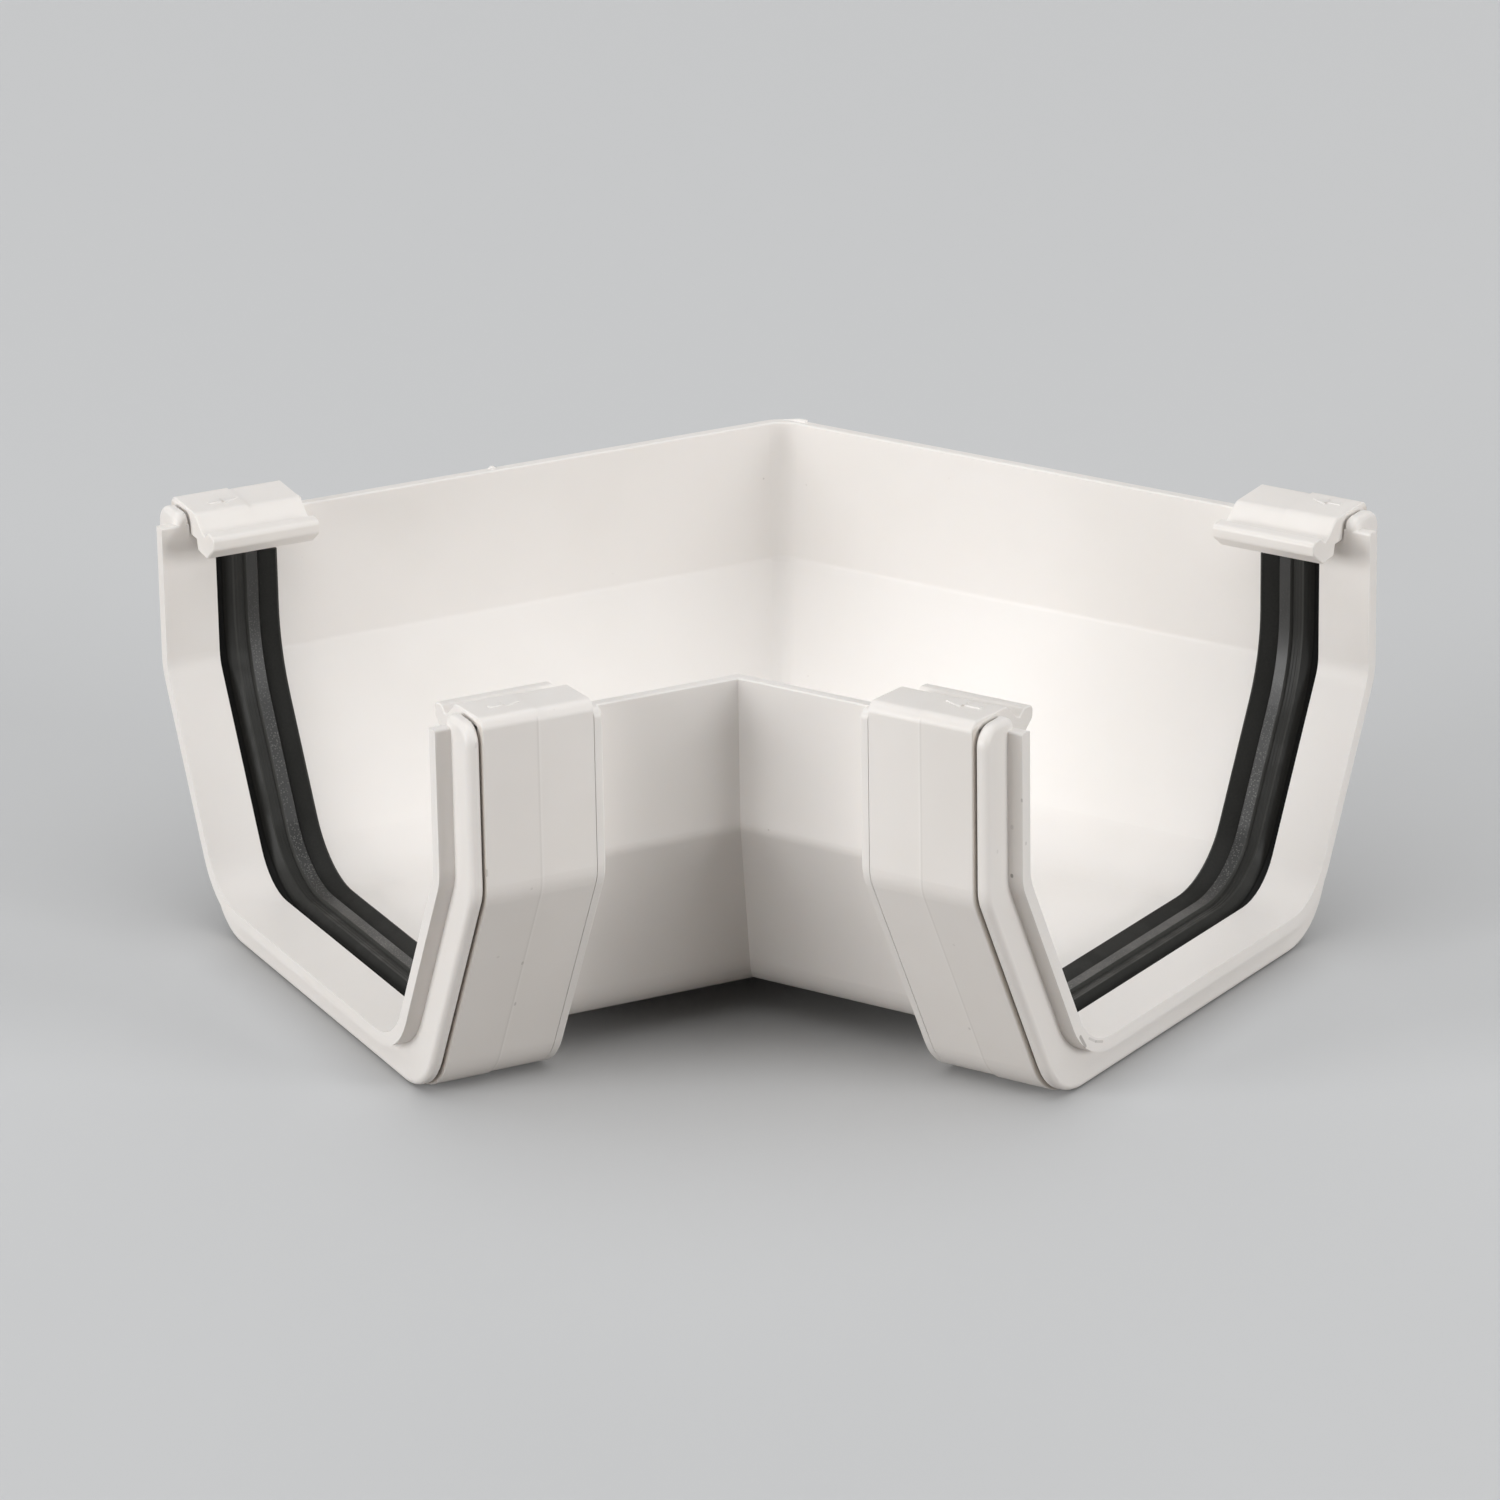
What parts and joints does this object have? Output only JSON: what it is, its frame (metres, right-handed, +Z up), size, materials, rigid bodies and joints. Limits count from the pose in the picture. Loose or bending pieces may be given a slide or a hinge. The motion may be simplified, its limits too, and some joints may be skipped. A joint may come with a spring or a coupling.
{
  "type": "gutter angle",
  "caption": "Angle for square-section rain gutter, turning it by 60 degrees: open mitred trough with a strapped snap-in socket and a ribbed rubber seal at each mouth.",
  "frame": {"origin": "centre of the bounding box on the plane that the straps' undersides rest on", "axes": "+Z up, out of the open trough; the part mirrors across X = 0; -Y points to the inner corner and the two mouths; +X to the right-hand mouth"},
  "size_m": [0.2178, 0.17, 0.076],
  "materials": {
    "body_plastic": "smooth moulded white plastic, low sheen to gloss",
    "strap_plastic": "smooth moulded white plastic, low sheen to gloss",
    "seal_rubber": "satin charcoal rubber with fine ribs"
  },
  "bodies": {
    "root": {"angle_body": "body_plastic", "left_strap": "strap_plastic", "right_strap": "strap_plastic", "left_seal": "seal_rubber", "right_seal": "seal_rubber"}
  },
  "joints": []
}
